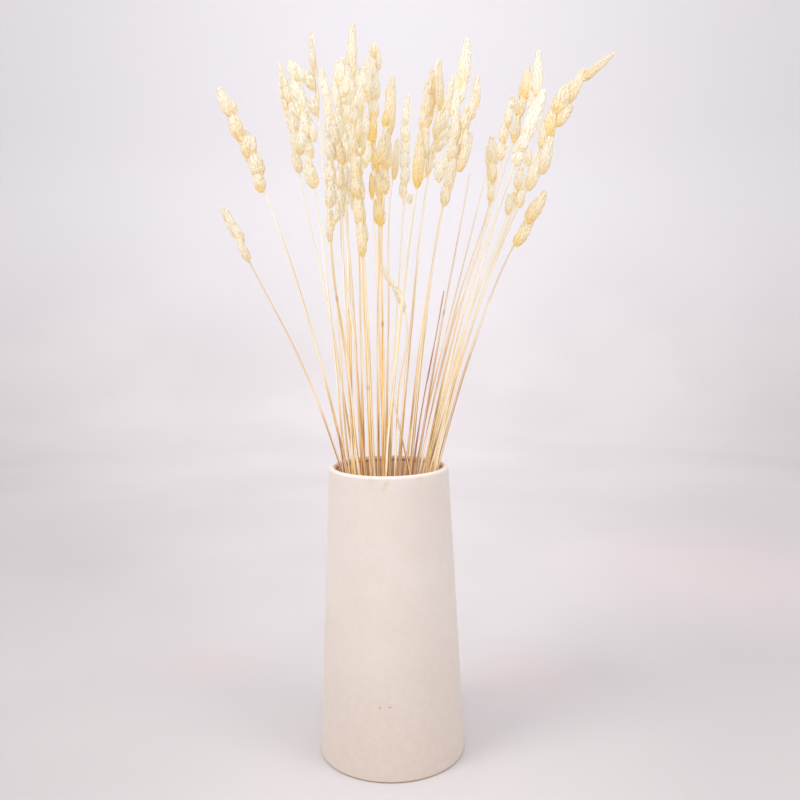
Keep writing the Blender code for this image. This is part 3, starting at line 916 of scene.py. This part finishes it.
def make_lobe(length, width, husk, core, bristle, draw):
    """A lobe to copy: rows of husks that lie along its rounded outline, and a few bristles."""
    pieces = []
    slim = CORE.width * width
    size = Matrix.Diagonal((slim, slim, length * CORE.length, 1))
    lobe = copied(core, size, [], tint=CORE.tint)
    rows = round(length * ROW_TOP / ROW_PITCH)
    up = Vector((0, 0, 1))
    for row in range(rows):
        share = ROW_TOP * row / (rows - 1)
        radius = slim / 2 * girth(share)
        count = max(FEWEST_HUSKS, round(math.tau * radius / HUSK_GAP))
        start = draw.uniform(0, math.tau)
        for i in range(count):
            angle = start + math.tau * (i + draw.uniform(-HUSK_SHIFT, HUSK_SHIFT)) / count
            out = level(angle)
            room = length * LAST_HUSK * (1 - share)
            long = min(HUSK.length * varied(draw, HUSK.vary), room)
            end = slim / 2 * max(BLUNT, girth(share + long / length))
            slope = math.atan2(end - radius, long) + HUSK_LEAN
            slope += draw.uniform(-HUSK_WANDER, HUSK_WANDER)
            along = up * math.cos(slope) + out * math.sin(slope)
            along += out.cross(up) * draw.uniform(-HUSK_SWAY, HUSK_SWAY)
            rise = share * length + draw.uniform(-HUSK_LIFT, HUSK_LIFT)
            root = out * radius * HUSK_SINK + up * rise
            size = Matrix.Diagonal((HUSK.width * varied(draw, HUSK.vary), HUSK.thick, long, 1))
            copied(husk, stood(root, along, out) @ size, pieces, tint=draw.random())
    for _ in range(BRISTLE.count):
        share = draw.uniform(*BRISTLE.span)
        out = level(draw.uniform(0, math.tau))
        root = out * width / 2 * girth(share) + up * share * length
        along = up + out * draw.uniform(*BRISTLE.lean)
        size = Matrix.Diagonal((BRISTLE.radius, BRISTLE.radius, BRISTLE.length, 1))
        copied(bristle, stood(root, along, out) @ size, pieces, tint=BRISTLE.tint)
    join_to(lobe, pieces)
    lobe.name = "lobe"
    mesh = lobe.data
    paint_points(mesh, "along", [vert.co.z / length for vert in mesh.vertices])
    mesh.transform(Matrix.Diagonal((1 / width, 1 / width, 1 / length, 1)))
    return lobe


def make_spray(husk, draw):
    """A few husks that open out from one foot, one unit long and wide."""
    pieces = []
    spray = None
    for i in range(SPRAY.husks):
        shift = draw.uniform(-SPRAY.shift, SPRAY.shift)
        out = level(math.tau * (i + shift) / SPRAY.husks)
        slope = SPRAY.open * draw.uniform(*SPRAY.opening)
        along = Vector((0, 0, 1)) * math.cos(slope) + out * math.sin(slope)
        root = out * SPRAY.out + Vector((0, 0, draw.uniform(*SPRAY.up)))
        long = draw.uniform(*SPRAY.length)
        size = Matrix.Diagonal((SPRAY.width, SPRAY.thick, long, 1))
        spray = copied(husk, stood(root, along, out) @ size, pieces, tint=draw.random())
    join_to(spray, pieces)
    spray.name = "spray"
    paint_points(spray.data, "along", [vert.co.z for vert in spray.data.vertices])
    return spray


def head_point(line, up, side, deep):
    """A point of a head, and the ways along its culm, to the right and away."""
    z = line.neck.z + (line.tip_z - line.neck.z) * up / line.reach
    climb = line.climb(z)
    right = Vector((climb.z, 0, -climb.x)).normalized()
    away = climb.cross(right)
    return line.at(z) + right * side + away * deep, climb, right, away


def seen_lobes(culm, line, draw):
    """The lobes that the front shows, each a little nearer or farther than the culm."""
    lobes = []
    for up, side, lean, length, width, gold in HEADS[culm.name]:
        deep = width * draw.uniform(*LOBE_DEPTH)
        root, climb, right, away = head_point(line, up, side, deep)
        tilt = math.radians(lean)
        along = climb * math.cos(tilt) + right * math.sin(tilt)
        along += away * draw.uniform(-DEPTH_LEAN, DEPTH_LEAN)
        root -= along * length * (LOBE_STRETCH - 1) * STRETCH_DOWN
        lobes.append(Lobe(root, along, length * LOBE_STRETCH, width * LOBE_SWELL,
                          gold / MOST_GOLD, up - abs(side) - TWIG_DROP.seen))
    return lobes


def back_lobes(culm, line, draw):
    """Lobes that the front hides, so that a head is as full from behind."""
    lobes = []
    up = BACK.start
    while up < line.reach - BACK.stop:
        width = culm.head * BACK.width * varied(draw, LOBE_VARY)
        side = draw.uniform(-1, 1) * culm.head * BACK.side
        root, climb, right, away = head_point(line, up, side, width * BACK.deep)
        along = climb + away * draw.uniform(BACK.lean, DEPTH_LEAN)
        along += right * draw.uniform(-BACK.sway, BACK.sway)
        length = BACK.length * varied(draw, LOBE_VARY)
        lobes.append(Lobe(root, along, length, width * BACK.slim, draw.uniform(*BACK.gold),
                          up - TWIG_DROP.back))
        up += BACK.every * varied(draw, LOBE_VARY)
    return lobes


def inner_lobes(culm, line, draw):
    """Lobes all round a head that stands within the bunch."""
    turn = draw.uniform(0, math.tau)
    lobes = []
    up = 0.0
    while up < line.reach - INNER.stop:
        turn += INNER.turn
        width = culm.head * INNER.width * varied(draw, LOBE_VARY)
        side = math.cos(turn) * culm.head * INNER.side
        deep = math.sin(turn) * culm.head * INNER.side
        root, climb, right, away = head_point(line, up, side, deep)
        out = right * math.cos(turn) + away * math.sin(turn)
        along = climb + out * math.tan(INNER.tilt)
        length = INNER.length * varied(draw, LOBE_VARY)
        lobes.append(Lobe(root, along, length, width, draw.uniform(*INNER.gold),
                          up - abs(side) - TWIG_DROP.inner))
        up += INNER.every * varied(draw, LOBE_VARY)
    up = line.reach - TOP.length
    root, climb = head_point(line, up, 0, 0)[:2]
    lobes.append(Lobe(root, climb, TOP.length, culm.head * TOP.width, TOP.gold,
                      up - TWIG_DROP.top))
    return lobes


def tufts(culm, line, draw):
    """The places of the sprays, which close the gaps between the lobes."""
    places = []
    up = 0.0
    while up < line.reach - TUFT.stop:
        turn = draw.uniform(0, math.tau)
        far = culm.head * draw.uniform(*TUFT.far)
        side = math.cos(turn) * far
        deep = math.sin(turn) * far
        root, climb, right, away = head_point(line, up, side, deep)
        out = right * math.cos(turn) + away * math.sin(turn)
        along = climb + out * draw.uniform(*TUFT.lean)
        length = TUFT.length * varied(draw, TUFT.size_vary)
        width = TUFT.width * varied(draw, TUFT.size_vary)
        places.append(Lobe(root, along, length, width, draw.uniform(*TUFT.gold)))
        up += TUFT.every * varied(draw, TUFT.step_vary)
    return places


def lobe_place(lobe, draw):
    """Where a lobe's template goes: turned at random round its own length, and sized."""
    spin = Matrix.Rotation(draw.uniform(0, math.tau), 4, "Z")
    size = Matrix.Diagonal((lobe.width, lobe.width, lobe.length, 1))
    stand = stood(lobe.root, lobe.along, lobe.along.orthogonal())
    return Matrix.Scale(MM, 4) @ stand @ spin @ size


def twig_place(lobe, line):
    """Where the twig goes that joins a lobe to its culm."""
    start = head_point(line, lobe.twig_from, 0, 0)[0]
    reach = lobe.root + lobe.along * TWIG_INTO - start
    thin = Matrix.Diagonal((TWIG_RADIUS, TWIG_RADIUS, reach.length, 1))
    return Matrix.Scale(MM, 4) @ stood(start, reach, reach.orthogonal()) @ thin


def make_grass(culm, lobe_kit, sprays, twig):
    """A culm and, where it has one, its seed head, as the one piece that it grew as."""
    draw = random.Random(culm.name)
    line = Line(culm)
    stalk = make_culm(culm, line)
    if culm.neck:
        if culm.name in HEADS:
            lobes = seen_lobes(culm, line, draw) + back_lobes(culm, line, draw)
        else:
            lobes = inner_lobes(culm, line, draw)
        pieces = []
        if culm.name not in BARE_HEADS:
            for tuft in tufts(culm, line, draw):
                copied(draw.choice(sprays), lobe_place(tuft, draw), pieces, gold=tuft.gold)
        for lobe in lobes:
            kind = min(LOBE_SIZES, key=lambda size: abs(math.log(size[0] / lobe.length)))
            shape = draw.choice(lobe_kit[kind])
            copied(shape, lobe_place(lobe, draw), pieces, gold=lobe.gold)
            copied(twig, twig_place(lobe, line), pieces, gold=TWIG_GOLD)
        for piece in pieces:
            piece.data.materials.append(bpy.data.materials[culm.straw + "_husk"])
        join_to(stalk, pieces)
    hand_over(stalk, culm.name)


def culm_finish():
    """A dry culm: golden near the vase, bleached above, brown streaks along its length that painted shade
    deepens near the rim; pale streaks of painted shine and a faint painted glow.
    """
    paint = Paint("dry_culm", Specular_IOR_Level=0.5, Emission_Strength=0.1)
    place = paint.place()
    height = paint.axes(place)[2] / MM
    warm = paint.attribute("warm")
    red = paint.attribute("red")
    sides = {0: paint.attribute("to_right"), 1: paint.attribute("to_back"),
             2: height * STREAK_STRETCH + paint.attribute("seed")}
    sides = paint.add("CombineXYZ", sockets=sides)
    streaks = paint.noise(sides, scale=1.35, detail=3.0, roughness=0.55)
    tall = paint.add("Mapping", sockets={"Vector": place, "Scale": PATCH_STRETCH})
    patches = paint.noise(tall, scale=110.0, detail=3.0, roughness=0.6) - 0.5
    low = 1 - (height + patches * BLEACH_RAGGED).between(*BLEACHED_OVER)
    # Painted shade near the rim, which deepens the streaks
    rim_shade = 1 - height.between(*RIM_SHADE_OVER)
    share = low * CULM_GOLD.low + warm * CULM_GOLD.warm + patches * CULM_GOLD.patch
    share = share - CULM_GOLD.less
    colour = paint.mix(share, BLEACHED, GOLDEN)
    colour = paint.mix(warm.between(*ORANGE_OVER) * low * ORANGE_SHARE, colour, ORANGE)
    colour = paint.mix(red * (RED_ABOVE + low * RED_BELOW), colour, RED)
    dark = STREAK_SHARE.least + share * STREAK_SHARE.golden + rim_shade
    colour = paint.mix(streaks.between(*STREAK_OVER) * dark, colour, STREAK)
    # Painted highlight: pale streaks of shine along the culm
    colour = paint.cover(colour, streaks, PAINTED_SHINE, falls=True)
    colour = paint.mix(paint.attribute("joint") * JOINT_SHARE, colour, JOINT_BROWN)
    paint.colour(colour)
    # Painted glow, stronger lower down
    paint.glow(paint.mix(low, CULM_GLOW_ABOVE, CULM_GLOW_BELOW))
    paint.rough(least=0.30, noise=streaks, more=0.3)
    paint.bump(streaks, strength=0.3, distance=0.0003)
    return paint.material


def husk_finish(name, straw):
    """Papery husks: cream and veined, golden at their edges and roots as painted shade, golden at the
    foot of each lobe partly as painted shade, with a painted glow.
    """
    paint = Paint(name + "_husk", Specular_IOR_Level=0.3, Sheen_Weight=0.12,
                  Sheen_Tint=(1.0, 0.86, 0.55, 1), Emission_Strength=0.36)
    rise = paint.attribute("rise")
    tint = paint.attribute("tint")
    gold = paint.attribute("gold")
    around = paint.attribute("around")
    grooves = {0: around * VEINS.around, 1: rise * VEINS.along, 2: tint * VEINS.husk}
    grooves = paint.add("CombineXYZ", sockets=grooves)
    veins = paint.noise(grooves, scale=1.0, detail=2.0, roughness=0.6)
    # The foot of a lobe is golden, partly in its own colour and partly as painted shade
    foot = (1 - paint.attribute("along")).between(*LOBE_FOOT)
    # Painted shade: husks go golden at their edges and roots, in the grooves between them
    edge = (around * around).between(*HUSK_EDGE)
    share = gold * HUSK_GOLD.lobe + foot * (HUSK_GOLD.foot + gold * HUSK_GOLD.golden_foot)
    share = share + (1 - rise) * HUSK_GOLD.root + edge * HUSK_GOLD.edge - HUSK_GOLD.less
    share = share + gold.between(*GOLDEN_LOBE) * HUSK_GOLD.golden
    share = share + (tint - 0.5) * HUSK_GOLD.tint + (veins - 0.5) * HUSK_GOLD.vein
    paint.colour(paint.mix(share, straw.cream, straw.gold))
    # Painted glow, more golden in the grooves
    deep = edge * DEEP_EDGE + (1 - rise).between(*ROOT_OVER) * DEEP_ROOT
    paint.glow(paint.mix(deep, HUSK_GLOW, HUSK_GLOW_DEEP))
    paint.rough(least=0.5, noise=veins, more=0.25)
    paint.bump(veins, strength=0.08, distance=0.0002)
    return paint.material


def make_studio():
    """A pale paper floor that turns up into a wall all round."""
    studio = disc("studio", STUDIO.sides, STUDIO.radius)
    draw_up(STUDIO.height)
    bpy.ops.mesh.delete(type="ONLY_FACE")
    select_verts(studio, lambda co: co.z < STUDIO.near)
    bpy.ops.mesh.bevel(offset=STUDIO.bend, segments=STUDIO.steps, affect="EDGES")
    edited()
    studio.data.shade_smooth()
    studio.data.materials.append(paper())


def paper():
    """Pale matt paper with painted shade: darker on the floor, at the sides and in the foreground,
    faintly pink behind the vase; and lit in soft pools of painted light and shade.
    """
    paint = Paint("pale_paper", Roughness=0.9, Specular_IOR_Level=0.1)
    place = paint.place()
    x, y, height = paint.axes(place)
    # Painted shade: the paper is darker on the floor than up the wall
    colour = paint.mix(height.between(*PAPER_RISE), FLOOR_PAPER, WALL_PAPER)
    colour = paint.cover(colour, paint.noise(place, scale=2.2, detail=2.0, roughness=0.5), CLOUD)
    # Painted shade, faintly pink, behind the vase
    for centre, radius, strength in PINK_SHADE_PATCHES:
        colour = paint.mix(paint.spot(place, centre, radius) * strength, colour, PINK_SHADE_COLOUR)
    # Painted shade at the sides of the view and in the foreground
    aside = (x * x) ** 0.5 / (y.at_least(VIEW_NEAREST) + VIEW_BACK)
    side = aside.between(*SIDE_OVER) * y.between(*SIDE_FADE)
    near = 1 - y.between(*NEAR_FADE)
    light = PAPER_LIGHT - side * SIDE_SHADE - near * NEAR_SHADE
    for centre, radius, strength in POOLS:
        light = light + paint.spot(place, centre, radius) * strength
    paint.colour(paint.add("VectorMath", {"operation": "SCALE"}, {0: colour, "Scale": light}))
    return paint.material


def make_lights():
    for lamp in LAMPS:
        light = bpy.data.lights.new(lamp.name, "AREA")
        light.shape = "DISK"
        light.size = lamp.size
        light.energy = lamp.watts
        light.color = lamp.colour
        fitting = added(lamp.name, light)
        fitting.location = lamp.place
        way = Vector(lamp.aim) - Vector(lamp.place)
        fitting.rotation_euler = way.to_track_quat("-Z", "Y").to_euler()
    world = bpy.data.worlds.new("studio_sky")
    world.use_nodes = True
    sky = world.node_tree.nodes["Background"]
    sky.inputs["Color"].default_value = SKY_COLOUR
    sky.inputs["Strength"].default_value = SKY_STRENGTH
    bpy.context.scene.world = world
    bpy.context.scene.view_settings.view_transform = "Standard"


def make_camera():
    data = bpy.data.cameras.new("camera")
    data.lens = LENS
    data.sensor_width = SENSOR
    camera = added("camera", data)
    tilt = Matrix.Rotation(math.pi / 2 - CAMERA_DIP, 4, "X")
    roll = Matrix.Rotation(CAMERA_ROLL, 4, "Z")
    camera.matrix_world = Matrix.Translation(CAMERA_AT) @ tilt @ roll
    bpy.context.scene.camera = camera


def main():
    make_camera()
    make_studio()
    make_lights()
    make_vase()
    culm_finish()
    for name, straw in STRAWS.items():
        husk_finish(name, straw)
    husk = make_husk()
    core = make_core()
    bristle = make_needle("bristle", sides=3, tip=0.0)
    twig = make_needle("twig", sides=6, tip=0.8)
    draw = random.Random("lobes")
    lobe_kit = {size: [make_lobe(*size, husk, core, bristle, draw) for _ in range(LOBES_OF_A_SIZE)]
                for size in LOBE_SIZES}
    sprays = [make_spray(husk, draw) for _ in range(SPRAY.count)]
    for culm in CULMS:
        make_grass(culm, lobe_kit, sprays, twig)
    for template in [husk, core, bristle, twig, *sum(lobe_kit.values(), []), *sprays]:
        bpy.data.objects.remove(template, do_unlink=True)


main()
